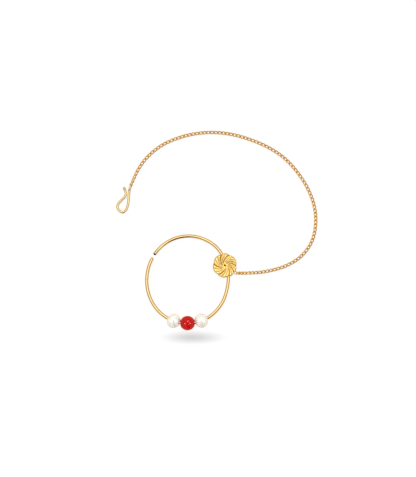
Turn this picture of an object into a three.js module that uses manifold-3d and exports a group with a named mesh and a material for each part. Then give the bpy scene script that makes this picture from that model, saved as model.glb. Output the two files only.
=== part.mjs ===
// A nose ring as it lies on a flat surface: an open wire hoop with three beads,
// a pinwheel flower soldered to its side, and a fine chain with a hook for the hair.
// Millimetres, +Z up. The origin is the middle of the jewel's footprint, on the surface.

import * as THREE from 'three';
import { mergeVertices } from 'three/addons/utils/BufferGeometryUtils.js';
import Module from 'manifold-3d';

const wasm = await Module();
wasm.setup();

// Hoop
const HOOP_WIRE = 1.0;              // wire diameter
const HOOP_HALF_WIDTH = 12.3;       // centre of the hoop to the middle of the wire, short way
const HOOP_HALF_HEIGHT = 13.14;     // and the long way: the hoop is bent by hand, slightly oval
const HOOP_LEAN_DEG = 8;            // the long way leans right of +Y
const HOOP_BEND = 0.21;             // most that the wire departs from the oval, below the flower
const BORED_END_DEG = 152.7;        // where the bored end is cut, round the hoop from +X
const TIP_DEG = -200.7;             // middle of the rounded tip, the other way round
const END_BORE = 0.72;              // diameter of the hole in the cut end
const END_BORE_DEPTH = 2.2;
const END_TWIST_LENGTH = 4.0;       // the last stretch of wire, twisted up to open the hoop
const END_LIFT = 0.7;               // how far the cut end stands above the hoop's plane
const HOOP_SIDES = 12;
const HOOP_STEPS = 88;

// Where the hand-bent wire departs from its oval: place round the hoop from +X, way outward
// in shares of HOOP_BEND, and spread to each side.
const HAND_BENDS = [
  { atDeg: -3, out: -1, spreadDeg: 18 },
  { atDeg: 56, out: 0.65, spreadDeg: 16 },
  { atDeg: -52, out: 0.3, spreadDeg: 14 },
  { atDeg: 140, out: 0.3, spreadDeg: 22 },
];

// Beads on the wire
const PEARL_DIAMETER = 4.4;         // across the wire
const PEARL_LENGTH = 4.05;          // along the wire
const RED_DIAMETER = 4.36;
const RED_LENGTH = 4.3;
const RED_AT_DEG = -81.8;           // middle bead, round the hoop
const BEAD_GAP = 0.1;               // between neighbouring beads
const BORE_CLEARANCE = 0.15;        // between the wire and a bead's bore
const BEAD_SIDES = 24;
const BEAD_ROWS = 12;

// Flower
const FLOWER_DIAMETER = 7.3;
const FLOWER_RIM_HEIGHT = 0.85;     // back to the top edge of the rim
const FLOWER_CROWN = 0.4;           // rise of the face from rim to middle
const FLOWER_AT_DEG = 27.3;         // round the hoop
const FLOWER_INSET = 0.59;          // middle of the flower inside the middle of the wire
const FLOWER_SEAT = 0.15;           // how deep the wire is sunk in the flower's back
const BACK_RIM_WIDTH = 1.25;        // flat band round the hollow back
const BACK_HOLLOW = 0.1;            // depth of the hollow, less than the seat
const PETAL_STEP = 0.36;            // drop from one petal's edge to the next petal
const RIDGE_HEIGHT = 0.13;
const PETAL_SWIRL_DEG = 60;         // turn of a petal from the rim to the middle
const LOBE_DEPTH = 0.34;            // notch between two petals at the rim
const PIT_DIAMETER = 0.5;           // hole in the middle of the face
const PIT_DEPTH = 0.55;
const SAMPLES_PER_PETAL = 16;

// The petals overlap like a pinwheel's blades and are uneven. Each starts low at this place
// round the rim, from +X, and rises in its ridges to the next one's start.
const PETALS = [
  { fromDeg: -5, ridges: 4 },
  { fromDeg: 67, ridges: 2 },
  { fromDeg: 106, ridges: 3 },
  { fromDeg: 168, ridges: 3 },
  { fromDeg: 232, ridges: 3 },
  { fromDeg: 288, ridges: 2 },
  { fromDeg: 321, ridges: 2 },
];

// Eye ring on the flower's rim, for the chain
const EYE_WIRE = 0.26;
const EYE_BORE = 0.62;
const EYE_DEG = -34;                // round the flower from +X
const EYE_SUNK = 0.28;              // overlap of the eye's outside with the flower's rim

// Chain
const CHAIN_WIDTH = 1.1;
const CHAIN_STEPS = 78;
const CHAIN_SIDES = 8;
const LINK_WIRE = 0.28;             // the two end links
const LINK_BORE = 0.62;
const LINK_GAP = 0.12;              // play between an end link and the eye that holds it
const RING_SIDES = 12;
const RING_WIRE_SIDES = 6;

// Hook
const HOOK_WIRE = 0.74;
const HOOK_LENGTH = 6.66;           // top of the stem to the middle of the wire at the bend
const HOOK_WIDTH = 3.63;            // stem to the far side of the bend, middles of the wire
const HOOK_PINCH_GAP = 0.09;        // between the stem and the returning wire
const HOOK_BALL = 0.86;             // rounded end
const HOOK_EYE_WIRE = 0.36;
const HOOK_EYE_WIDTH = 1.26;        // outside, narrow way
const HOOK_EYE_LENGTH = 2.2;        // outside, long way
const HOOK_EYE_TILT_DEG = 65;       // the eye stands on edge, leaning
const HOOK_EYE_SUNK = 0.3;          // overlap of the eye and the stem
const HOOK_HEADING_DEG = 72.2;      // the way the eye points, from +X
const HOOK_SIDES = 10;
const HOOK_STEPS = 54;

// Where the chain lies, from the middle of the hoop: x, y and height above the surface
// in shares of the chain's own radius.
const CHAIN_ROUTE = [
  [16.9, 1.95, 2.3],
  [18.4, 2.0, 1.4],
  [20.6, 2.1, 1.0],
  [23.7, 2.5, 1.0],
  [29.1, 4.0, 1.0],
  [33.9, 6.9, 1.0],
  [37.2, 11.4, 1.0],
  [38.4, 16.8, 1.0],
  [37.9, 22.4, 1.0],
  [35.9, 27.6, 1.0],
  [32.8, 32.4, 1.0],
  [29.0, 36.5, 1.0],
  [24.4, 39.6, 1.0],
  [19.2, 41.9, 1.0],
  [13.8, 43.5, 1.0],
  [8.3, 44.2, 1.0],
  [2.7, 43.9, 1.0],
  [-2.8, 42.6, 1.0],
  [-7.9, 40.3, 1.0],
  [-12.2, 36.8, 1.0],
  [-14.9, 33.1, 1.0],
];
const HOOK_AT = [-17.52, 26.91];    // top of the stem, from the middle of the hoop

// The hook's outline: how far across the hook and how far down its length.
// The returning leg's first column is a share of the width beyond the pinch.
const HOOK_STEM = [
  [0.0, 0.0],
  [0.06, 0.24],
  [0.08, 0.46],
  [0.14, 0.68],
  [0.31, 0.91],
  [0.58, 1.0],
  [0.84, 0.93],
  [1.0, 0.78],
];
const HOOK_RETURN = [
  [0.93, 0.64],
  [0.7, 0.52],
  [0.45, 0.42],
  [0.18, 0.32],
  [0.055, 0.21],
  [0.04, 0.13],
  [0.11, 0.04],
  [0.22, -0.08],
];
const STEM_AT_PINCH = 0.05;         // across share of the stem where the return passes it

const GOLD = new THREE.MeshStandardMaterial({ color: 0xe0a83c, roughness: 0.28, metalness: 1.0 });
const PALE_GOLD = new THREE.MeshStandardMaterial({ color: 0xe8c46a, roughness: 0.25, metalness: 1.0 });
const PEARL = new THREE.MeshStandardMaterial({ color: 0xf4f1ea, roughness: 0.25, metalness: 0.0 });
const RED = new THREE.MeshStandardMaterial({ color: 0xc4121a, roughness: 0.15, metalness: 0.0 });

const radians = THREE.MathUtils.degToRad;

// Joins and cuts

function toSolid(geometry) {
  const bare = geometry.clone();
  bare.deleteAttribute('normal');
  bare.deleteAttribute('uv');
  const welded = mergeVertices(bare);
  return new wasm.Manifold(new wasm.Mesh({
    numProp: 3,
    vertProperties: new Float32Array(welded.attributes.position.array),
    triVerts: new Uint32Array(welded.index.array),
  }));
}

function toGeometry(solid) {
  const mesh = solid.getMesh();
  const geometry = new THREE.BufferGeometry();
  geometry.setAttribute('position', new THREE.BufferAttribute(mesh.vertProperties, 3));
  geometry.setIndex(new THREE.BufferAttribute(mesh.triVerts, 1));
  geometry.computeVertexNormals();
  return geometry;
}

function join(geometries) {
  return geometries.map(toSolid).reduce((whole, piece) => whole.add(piece));
}

function part(name, geometry, material) {
  const mesh = new THREE.Mesh(geometry, material);
  mesh.name = name;
  return mesh;
}

// Wire and rings

function wireAlong(path, diameter, sides, steps) {
  const corners = [];
  for (let i = 0; i < sides; i += 1) {
    const angle = (2 * Math.PI * i) / sides;
    corners.push(new THREE.Vector2(Math.cos(angle), Math.sin(angle)).multiplyScalar(diameter / 2));
  }
  const section = new THREE.Shape(corners);
  return new THREE.ExtrudeGeometry(section, { steps, extrudePath: path, bevelEnabled: false });
}

// A ring of round wire in the XY plane, drawn out along Y by a straight stretch.
function ring(bore, wire, straight = 0) {
  const geometry = new THREE.TorusGeometry((bore + wire) / 2, wire / 2, RING_WIRE_SIDES, RING_SIDES);
  geometry.rotateZ(Math.PI / RING_SIDES);
  const position = geometry.attributes.position;
  for (let i = 0; i < position.count; i += 1) {
    position.setY(i, position.getY(i) + (Math.sign(position.getY(i)) * straight) / 2);
  }
  return geometry;
}

function ball(diameter, sides, centre) {
  return new THREE.SphereGeometry(diameter / 2, sides, sides / 2).translate(centre.x, centre.y, centre.z);
}

// The hoop's wire, in the hoop's own plane

function handBend(angle) {
  const parts = HAND_BENDS.map(({ atDeg, out, spreadDeg }) => {
    const away = angle - radians(atDeg);
    const nearest = Math.atan2(Math.sin(away), Math.cos(away));
    return out * Math.exp(-((nearest / radians(spreadDeg)) ** 2));
  });
  return HOOP_BEND * parts.reduce((sum, part) => sum + part);
}

function hoopPoint(angle) {
  const wide = HOOP_HALF_WIDTH * Math.cos(angle);
  const tall = HOOP_HALF_HEIGHT * Math.sin(angle);
  const bent = 1 + handBend(angle) / Math.hypot(wide, tall);
  const lean = radians(HOOP_LEAN_DEG);
  const fromEnd = (radians(BORED_END_DEG) - angle) * HOOP_HALF_WIDTH;
  const twist = Math.max(0, 1 - fromEnd / END_TWIST_LENGTH);
  return new THREE.Vector3(
    (wide * Math.cos(lean) + tall * Math.sin(lean)) * bent,
    (tall * Math.cos(lean) - wide * Math.sin(lean)) * bent,
    END_LIFT * twist ** 2,
  );
}

class HoopWire extends THREE.Curve {
  constructor(fromAngle, toAngle) {
    super();
    this.fromAngle = fromAngle;
    this.toAngle = toAngle;
  }

  getPoint(share, target = new THREE.Vector3()) {
    return target.copy(hoopPoint(THREE.MathUtils.lerp(this.fromAngle, this.toAngle, share)));
  }
}

// The angle round the hoop that lies a given length of wire further on.
function angleAfter(angle, length) {
  const pieces = 40;
  let reached = angle;
  for (let i = 0; i < pieces; i += 1) {
    const speed = Math.hypot(HOOP_HALF_WIDTH * Math.sin(reached), HOOP_HALF_HEIGHT * Math.cos(reached));
    reached += length / pieces / speed;
  }
  return reached;
}

function wireDirection(angle) {
  return new THREE.Vector3().subVectors(hoopPoint(angle + 0.001), hoopPoint(angle - 0.001)).normalize();
}

function makeHoopWire() {
  const boredEnd = radians(BORED_END_DEG);
  const tip = radians(TIP_DEG);
  const wire = join([
    wireAlong(new HoopWire(boredEnd, tip), HOOP_WIRE, HOOP_SIDES, HOOP_STEPS),
    ball(HOOP_WIRE, HOOP_SIDES, hoopPoint(tip)),
  ]);
  const pastEnd = boredEnd + END_BORE / HOOP_HALF_WIDTH;
  const boreBottom = boredEnd - END_BORE_DEPTH / HOOP_HALF_WIDTH;
  const bore = wireAlong(new HoopWire(pastEnd, boreBottom), END_BORE, HOOP_SIDES, 6);
  return wire.subtract(toSolid(bore));
}

// Beads

// A round bead drilled along its axis. The bore is wide enough for the bent wire.
function makeBead(diameter, length) {
  const wireBow = (length / 2) ** 2 / (2 * HOOP_HALF_WIDTH);
  const bore = HOOP_WIRE / 2 + BORE_CLEARANCE + wireBow / 2;
  const edge = Math.acos(bore / (diameter / 2));
  const profile = [];
  for (let row = 0; row <= BEAD_ROWS; row += 1) {
    const angle = THREE.MathUtils.lerp(-edge, edge, row / BEAD_ROWS);
    profile.push(new THREE.Vector2((diameter / 2) * Math.cos(angle), (length / 2) * Math.sin(angle)));
  }
  profile.push(profile[0].clone());
  return new THREE.LatheGeometry(profile, BEAD_SIDES);
}

// The bead's middle sits a little inside the wire's, so the bow shares the bore's play.
function placeBead(bead, angle, length) {
  const along = wireDirection(angle);
  const inward = new THREE.Vector3(-along.y, along.x, 0);
  const wireBow = (length / 2) ** 2 / (2 * HOOP_HALF_WIDTH);
  bead.position.copy(hoopPoint(angle)).addScaledVector(inward, wireBow / 2);
  bead.quaternion.setFromUnitVectors(new THREE.Vector3(0, 1, 0), along);
  return bead;
}

// Flower

const flowerRadius = FLOWER_DIAMETER / 2;

// Height of the face over the back at a share of the radius and a share across the petal.
// Each petal rises in ridges to its leading edge and then drops to the next.
function faceHeight(out, across, ridgeCount) {
  const dome = FLOWER_RIM_HEIGHT + FLOWER_CROWN * (1 - out ** 2);
  const fall = 1 / SAMPLES_PER_PETAL;
  const rise = across < 1 - fall ? across / (1 - fall) : (1 - across) / fall;
  const ridges = (1 - Math.cos(2 * Math.PI * ridgeCount * rise)) / 2;
  const spread = THREE.MathUtils.smoothstep(out, 0.08, 0.45);
  const edge = 1 - THREE.MathUtils.smoothstep(out, 0.8, 1) * 0.6;
  return dome + spread * edge * (PETAL_STEP * (rise - 1) + RIDGE_HEIGHT * (ridges - 1));
}

// The angle round the flower at a share of the radius. A petal curls clockwise to the rim.
function petalAngle(petal, across, out) {
  const { fromDeg } = PETALS[petal];
  const followingDeg = petal + 1 < PETALS.length ? PETALS[petal + 1].fromDeg : PETALS[0].fromDeg + 360;
  const onRim = fromDeg + (followingDeg - fromDeg) * across;
  return radians(onRim + PETAL_SWIRL_DEG * (1 - out) ** 1.3);
}

function makeFlower() {
  const backInner = flowerRadius - LOBE_DEPTH - BACK_RIM_WIDTH;
  const backOuter = flowerRadius - LOBE_DEPTH - 0.15;
  const back = [[0, BACK_HOLLOW], [backInner, BACK_HOLLOW], [backInner, 0], [backOuter, 0]];
  const side = [[flowerRadius, FLOWER_RIM_HEIGHT * 0.35], [flowerRadius, FLOWER_RIM_HEIGHT * 0.7]];
  const faceShares = [0.95, 0.84, 0.72, 0.6, 0.48, 0.36, 0.25, 0.15];
  const face = faceShares.map((share) => [share * flowerRadius, FLOWER_RIM_HEIGHT]);
  const pit = [
    [PIT_DIAMETER / 2, FLOWER_RIM_HEIGHT],
    [PIT_DIAMETER / 2 - 0.05, FLOWER_RIM_HEIGHT + FLOWER_CROWN - PIT_DEPTH],
    [0, FLOWER_RIM_HEIGHT + FLOWER_CROWN - PIT_DEPTH],
  ];
  const profile = [...back, ...side, ...face, ...pit].map(([radius, height]) => new THREE.Vector2(radius, height));
  const columns = PETALS.length * SAMPLES_PER_PETAL;
  const geometry = new THREE.LatheGeometry(profile, columns);
  geometry.rotateX(Math.PI / 2);
  const firstFace = back.length + side.length;
  const lastFace = firstFace + face.length;
  const position = geometry.attributes.position;
  for (let i = 0; i < position.count; i += 1) {
    const row = i % profile.length;
    const column = Math.floor(i / profile.length) % columns;
    const petal = Math.floor(column / SAMPLES_PER_PETAL);
    const radius = profile[row].x;
    const across = (column % SAMPLES_PER_PETAL) / SAMPLES_PER_PETAL;
    const out = row < firstFace ? 1 : radius / flowerRadius;
    const lobe = LOBE_DEPTH * (1 - Math.sin(Math.PI * across) ** 0.6);
    const onRim = row >= back.length && out > 0.9;
    const reach = onRim ? radius - lobe : radius;
    const angle = petalAngle(petal, across, out);
    const carved = row >= firstFace && row <= lastFace;
    position.setX(i, reach * Math.cos(angle));
    position.setY(i, reach * Math.sin(angle));
    position.setZ(i, carved ? faceHeight(out, across, PETALS[petal].ridges) : profile[row].y);
  }
  return geometry;
}

const flowerAngle = radians(FLOWER_AT_DEG);
const flowerCentre = hoopPoint(flowerAngle);
flowerCentre.addScaledVector(flowerCentre.clone().normalize(), -FLOWER_INSET);
flowerCentre.z = HOOP_WIRE / 2 - FLOWER_SEAT;

const eyeOutside = EYE_BORE / 2 + EYE_WIRE;
const eyeReach = flowerRadius + eyeOutside - EYE_SUNK;
const eyeCentre = flowerCentre.clone().add(new THREE.Vector3(
  eyeReach * Math.cos(radians(EYE_DEG)),
  eyeReach * Math.sin(radians(EYE_DEG)),
  FLOWER_RIM_HEIGHT / 2,
));

// Hoop, flower and eye, soldered into one solid

function makeHoopWithFlower() {
  const flower = makeFlower().translate(flowerCentre.x, flowerCentre.y, flowerCentre.z);
  const eye = ring(EYE_BORE, EYE_WIRE).translate(eyeCentre.x, eyeCentre.y, eyeCentre.z);
  return toGeometry(makeHoopWire().add(toSolid(flower)).add(toSolid(eye)));
}

// The hoop lies on its two pearls and on the wire opposite them.

const beadStep = (PEARL_LENGTH + RED_LENGTH) / 2 + BEAD_GAP;
const redAngle = radians(RED_AT_DEG);
const leftPearlAngle = angleAfter(redAngle, -beadStep);
const rightPearlAngle = angleAfter(redAngle, beadStep);

const lean = radians(HOOP_LEAN_DEG);
const farSide = Math.hypot(HOOP_HALF_WIDTH * Math.sin(lean), HOOP_HALF_HEIGHT * Math.cos(lean));
const nearSide = Math.min(-hoopPoint(leftPearlAngle).y, -hoopPoint(rightPearlAngle).y);
const hoopTilt = Math.asin((PEARL_DIAMETER - HOOP_WIRE) / 2 / (farSide + nearSide));
const hoopHeight = HOOP_WIRE / 2 + farSide * Math.sin(hoopTilt);

const hoopFrame = new THREE.Group();
hoopFrame.position.z = hoopHeight;
hoopFrame.rotation.x = -hoopTilt;
hoopFrame.add(part('hoop_with_flower', makeHoopWithFlower(), GOLD));
hoopFrame.add(placeBead(part('bead_pearl_left', makeBead(PEARL_DIAMETER, PEARL_LENGTH), PEARL),
  leftPearlAngle, PEARL_LENGTH));
hoopFrame.add(placeBead(part('bead_red', makeBead(RED_DIAMETER, RED_LENGTH), RED),
  redAngle, RED_LENGTH));
hoopFrame.add(placeBead(part('bead_pearl_right', makeBead(PEARL_DIAMETER, PEARL_LENGTH), PEARL),
  rightPearlAngle, PEARL_LENGTH));
hoopFrame.updateMatrixWorld();

// Hook, in its own frame: the stem's top at the origin, the bend towards -Y

const hookEyeHeight = (HOOK_EYE_WIDTH - HOOK_EYE_WIRE) * Math.sin(radians(HOOK_EYE_TILT_DEG)) / 2
  + HOOK_EYE_WIRE / 2;
const hookHeading = new THREE.Vector3(
  Math.cos(radians(HOOK_HEADING_DEG)),
  Math.sin(radians(HOOK_HEADING_DEG)),
  0,
);
const hookEyeCentre = hookHeading.clone().multiplyScalar(HOOK_EYE_LENGTH / 2 - HOOK_EYE_SUNK);
hookEyeCentre.z = hookEyeHeight;

function makeHook() {
  const pinch = HOOK_WIRE + HOOK_PINCH_GAP + STEM_AT_PINCH * HOOK_WIDTH;
  const level = HOOK_WIRE / 2;
  const stem = HOOK_STEM.map(([across, down]) => (
    new THREE.Vector3(-across * HOOK_WIDTH, -down * HOOK_LENGTH, level)
  ));
  const back = HOOK_RETURN.map(([across, down]) => (
    new THREE.Vector3(-pinch - across * (HOOK_WIDTH - pinch), -down * HOOK_LENGTH, level)
  ));
  const end = back[back.length - 1];
  end.z = HOOK_BALL / 2;
  const path = new THREE.CatmullRomCurve3([...stem, ...back]);
  const eye = ring(
    HOOK_EYE_WIDTH - 2 * HOOK_EYE_WIRE,
    HOOK_EYE_WIRE,
    HOOK_EYE_LENGTH - HOOK_EYE_WIDTH,
  );
  eye.rotateY(radians(HOOK_EYE_TILT_DEG));
  eye.rotateZ(radians(HOOK_HEADING_DEG - 90));
  eye.translate(hookEyeCentre.x, hookEyeCentre.y, hookEyeCentre.z);
  return toGeometry(join([
    wireAlong(path, HOOK_WIRE, HOOK_SIDES, HOOK_STEPS),
    ball(HOOK_WIRE, HOOK_SIDES, stem[0]),
    ball(HOOK_BALL, HOOK_SIDES, end),
    eye,
  ]));
}

const hook = part('chain_hook', makeHook(), PALE_GOLD);
hook.position.set(HOOK_AT[0], HOOK_AT[1], 0);

// Chain, with an end link through the flower's eye and another through the hook's

const linkMiddle = (LINK_BORE + LINK_WIRE) / 2;
const eyeInWorld = eyeCentre.clone().applyMatrix4(hoopFrame.matrixWorld);
const routeStart = new THREE.Vector3(CHAIN_ROUTE[0][0], CHAIN_ROUTE[0][1], eyeInWorld.z);
const outOfEye = routeStart.clone().sub(eyeInWorld).normalize();

function makeChain() {
  const eyeMiddle = (EYE_BORE + EYE_WIRE) / 2;
  const firstOffset = eyeMiddle + linkMiddle - (EYE_WIRE + LINK_WIRE) / 2 - LINK_GAP;
  const firstLink = eyeInWorld.clone().addScaledVector(outOfEye, firstOffset);
  const hookEyeMiddle = (HOOK_EYE_LENGTH - HOOK_EYE_WIRE) / 2;
  const lastOffset = hookEyeMiddle + linkMiddle - (HOOK_EYE_WIRE + LINK_WIRE) / 2 - LINK_GAP;
  const lastLink = hookEyeCentre.clone().add(hook.position).addScaledVector(hookHeading, lastOffset);
  const route = CHAIN_ROUTE.map(([x, y, height]) => new THREE.Vector3(x, y, (height * CHAIN_WIDTH) / 2));
  const path = new THREE.CatmullRomCurve3([
    firstLink.clone().addScaledVector(outOfEye, linkMiddle),
    ...route,
    lastLink.clone().addScaledVector(hookHeading, linkMiddle),
  ]);
  const standing = ring(LINK_BORE, LINK_WIRE);
  standing.rotateX(Math.PI / 2);
  standing.rotateZ(Math.atan2(outOfEye.y, outOfEye.x));
  standing.translate(firstLink.x, firstLink.y, firstLink.z);
  const lying = ring(LINK_BORE, LINK_WIRE).translate(lastLink.x, lastLink.y, lastLink.z);
  return toGeometry(join([wireAlong(path, CHAIN_WIDTH, CHAIN_SIDES, CHAIN_STEPS), standing, lying]));
}

// The whole jewel, moved so that the origin is under its middle

const noseRing = new THREE.Group();
noseRing.add(hoopFrame);
noseRing.add(part('chain', makeChain(), GOLD));
noseRing.add(hook);

const extent = new THREE.Box3().setFromObject(noseRing, true);
const middle = extent.getCenter(new THREE.Vector3());
noseRing.position.set(-middle.x, -middle.y, -extent.min.z);

export default noseRing;
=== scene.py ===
# %% [markdown]
# # A nose ring with a hair chain
# The jewel is an open gold hoop with two pearls and a red bead strung on it, a pinwheel
# flower soldered to its side, and a fine chain that ends in a hook for the hair.
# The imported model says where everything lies. This lesson gives each piece its fine
# surface and its material, then lights it on a white table.

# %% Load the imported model
import math

import bmesh
import bpy
from mathutils import Matrix, Vector


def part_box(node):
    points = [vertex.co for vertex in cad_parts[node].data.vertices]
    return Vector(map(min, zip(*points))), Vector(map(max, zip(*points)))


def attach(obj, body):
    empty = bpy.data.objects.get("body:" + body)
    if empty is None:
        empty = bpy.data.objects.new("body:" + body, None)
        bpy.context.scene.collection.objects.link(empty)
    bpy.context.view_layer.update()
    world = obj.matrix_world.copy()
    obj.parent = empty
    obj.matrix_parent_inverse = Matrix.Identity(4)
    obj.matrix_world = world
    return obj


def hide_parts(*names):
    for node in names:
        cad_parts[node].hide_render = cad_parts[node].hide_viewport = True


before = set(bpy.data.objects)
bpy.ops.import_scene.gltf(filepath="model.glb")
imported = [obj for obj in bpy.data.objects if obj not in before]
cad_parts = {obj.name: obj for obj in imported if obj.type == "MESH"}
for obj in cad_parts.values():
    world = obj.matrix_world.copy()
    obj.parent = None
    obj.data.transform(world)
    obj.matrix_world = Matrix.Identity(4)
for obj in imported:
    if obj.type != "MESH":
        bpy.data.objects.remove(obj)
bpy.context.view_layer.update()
MM = 0.001
print("nodes", sorted(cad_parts))

# %% [markdown]
# ## Sizes
# These are the jewel's own sizes in millimetres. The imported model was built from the
# same ones, apart from the links and the red bead's skin, which are finer here. Curves
# and rings are worked out from them, so the fine surface lies where the model does.

# %% Sizes of the jewel
HOOP_WIRE = 1.0
HOOP_HALF_WIDTH = 12.3
HOOP_HALF_HEIGHT = 13.14
HOOP_LEAN = math.radians(8)
HOOP_BEND = 0.21
# Where the hoop was bent by hand: degrees round it, and how far out as a share of HOOP_BEND.
HAND_BENDS = [
    {"at": -3, "out": -1, "spread": 18},
    {"at": 56, "out": 0.65, "spread": 16},
    {"at": -52, "out": 0.3, "spread": 14},
    {"at": 140, "out": 0.3, "spread": 22},
]
BORED_END = math.radians(152.7)
TIP = math.radians(-200.7)
END_BORE = 0.76
END_BORE_DEPTH = 2.2
END_TWIST_LENGTH = 4.0
END_LIFT = 0.7

PEARL_DIAMETER = 4.4
PEARL_LENGTH = 4.05
RED_DIAMETER = 4.36
RED_LENGTH = 4.3
# The oval that the red bead's skin follows. The drilled holes cut its ends off, to about 4.2.
RED_SKIN_LENGTH = 4.55
RED_AT = math.radians(-81.8)
BEAD_GAP = 0.1
BORE_CLEARANCE = 0.15

FLOWER_DIAMETER = 7.3
FLOWER_RIM_HEIGHT = 0.85
FLOWER_CROWN = 0.4
FLOWER_AT = math.radians(27.3)
FLOWER_INSET = 0.59
FLOWER_SEAT = 0.15

EYE_WIRE = 0.26
EYE_BORE = 0.62
EYE_AT = math.radians(-34)
EYE_SUNK = 0.28

CHAIN_WIDTH = 1.08
LINK_WIRE = 0.32
LINK_PITCH = 1.137
LINK_SLACK = 0.03
# How far each end of a link is twisted out of the flat.
LINK_BEND = math.radians(-48)
EYE_GAP = 0.05

HOOK_WIRE = 0.74
HOOK_LENGTH = 6.66
HOOK_WIDTH = 3.63
HOOK_PINCH_GAP = 0.09
HOOK_BALL = 0.86
HOOK_EYE_WIRE = 0.36
HOOK_EYE_WIDTH = 1.26
HOOK_EYE_LENGTH = 2.2
HOOK_EYE_TILT = math.radians(65)
HOOK_EYE_SUNK = 0.3
HOOK_HEADING = math.radians(72.2)

# %% Curves shared by the wires


def smooth_curve(points, samples):
    """A smooth curve through the points, as a list of points close together."""
    first = points[0] * 2 - points[1]
    last = points[-1] * 2 - points[-2]
    padded = [first, *points, last]
    curve = []
    for before, start, end, after in zip(padded, padded[1:], padded[2:], padded[3:]):
        gap_in = math.sqrt((start - before).length)
        gap = math.sqrt((end - start).length)
        gap_out = math.sqrt((after - end).length)
        leave = (start - before) / gap_in - (end - before) / (gap_in + gap) + (end - start) / gap
        arrive = (end - start) / gap - (after - start) / (gap + gap_out) + (after - end) / gap_out
        leave, arrive = leave * gap, arrive * gap
        for step in range(samples):
            t = step / samples
            curve.append(
                start
                + leave * t
                + (start * -3 + end * 3 - leave * 2 - arrive) * t**2
                + (start * 2 - end * 2 + leave + arrive) * t**3
            )
    return [*curve, points[-1].copy()]


def by_distance(points):
    """Turns a list of points into a function of the distance along them, past both ends too."""
    lengths = [0.0]
    for a, b in zip(points, points[1:]):
        lengths.append(lengths[-1] + (b - a).length)

    def at(distance):
        if distance <= 0:
            return points[0] + (points[0] - points[1]).normalized() * -distance
        if distance >= lengths[-1]:
            return points[-1] + (points[-1] - points[-2]).normalized() * (distance - lengths[-1])
        low, high = 0, len(lengths) - 1
        while high - low > 1:
            middle = (low + high) // 2
            low, high = (middle, high) if lengths[middle] <= distance else (low, middle)
        share = (distance - lengths[low]) / (lengths[high] - lengths[low])
        return points[low].lerp(points[high], share)

    return at, lengths[-1]


# %% [markdown]
# ## Where the hoop lies
# A hoop with beads on one side doesn't lie flat: it rests on its two pearls and on the
# wire opposite them. The tilt follows from the bead's size. The red bead's box in the
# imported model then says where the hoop's middle is.

# %% The hoop's frame


def hand_bend(angle):
    """How far the wire, bent by hand, lies outside its oval, in mm."""
    out = 0.0
    for bend in HAND_BENDS:
        away = angle - math.radians(bend["at"])
        nearest = math.atan2(math.sin(away), math.cos(away))
        out += bend["out"] * math.exp(-(nearest / math.radians(bend["spread"])) ** 2)
    return HOOP_BEND * out


def hoop_point(angle):
    """The middle of the wire, in the hoop's own plane. The bored end is twisted up a little."""
    wide = HOOP_HALF_WIDTH * math.cos(angle)
    tall = HOOP_HALF_HEIGHT * math.sin(angle)
    bent = 1 + hand_bend(angle) / math.hypot(wide, tall)
    from_end = (BORED_END - angle) * HOOP_HALF_WIDTH
    twist = max(0.0, 1 - from_end / END_TWIST_LENGTH)
    return Vector((
        (wide * math.cos(HOOP_LEAN) + tall * math.sin(HOOP_LEAN)) * bent,
        (tall * math.cos(HOOP_LEAN) - wide * math.sin(HOOP_LEAN)) * bent,
        END_LIFT * twist**2,
    ))


def angle_after(angle, length, pieces=40):
    """The angle round the hoop that lies this much wire further on."""
    for _ in range(pieces):
        speed = math.hypot(HOOP_HALF_WIDTH * math.sin(angle), HOOP_HALF_HEIGHT * math.cos(angle))
        angle += length / pieces / speed
    return angle


def bead_middle(angle, length):
    """A bead's middle lies a little inside the bent wire, whose bow it straddles."""
    bow = (length / 2) ** 2 / (2 * HOOP_HALF_WIDTH)
    along = (hoop_point(angle + 0.001) - hoop_point(angle - 0.001)).normalized()
    inward = Vector((-along.y, along.x, 0))
    return hoop_point(angle) + inward * bow / 2, along, inward, bow


bead_step = (PEARL_LENGTH + RED_LENGTH) / 2 + BEAD_GAP
left_at = angle_after(RED_AT, -bead_step)
right_at = angle_after(RED_AT, bead_step)
far_side = math.hypot(HOOP_HALF_WIDTH * math.sin(HOOP_LEAN), HOOP_HALF_HEIGHT * math.cos(HOOP_LEAN))
near_side = min(-hoop_point(left_at).y, -hoop_point(right_at).y)
hoop_tilt = math.asin((PEARL_DIAMETER - HOOP_WIRE) / 2 / (far_side + near_side))
hoop_height = HOOP_WIRE / 2 + far_side * math.sin(hoop_tilt)
tilt = Matrix.Rotation(-hoop_tilt, 4, "X")

red_low, red_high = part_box("bead_red")
red_middle = (Vector(red_low) + Vector(red_high)) / 2 / MM
hoop_middle = red_middle - tilt @ bead_middle(RED_AT, RED_LENGTH)[0]
hoop_middle.z = hoop_height
hoop_frame = Matrix.Translation(hoop_middle) @ tilt
print("hoop middle, mm", [round(v, 2) for v in hoop_middle], "tilt", round(math.degrees(hoop_tilt), 2))

# %% [markdown]
# ## The camera
# The jewel was laid down and seen from straight above through a long lens, so a long
# lens high over the table gives nearly the same flat view. One photo pixel is 0.3 mm.

# %% Camera
PIXEL = 0.3
FRAME_PIXELS = (416, 477)
HOOP_MIDDLE_PIXEL = (187.8, 279.7)
LENS = 150.0
SENSOR = 36.0

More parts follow.
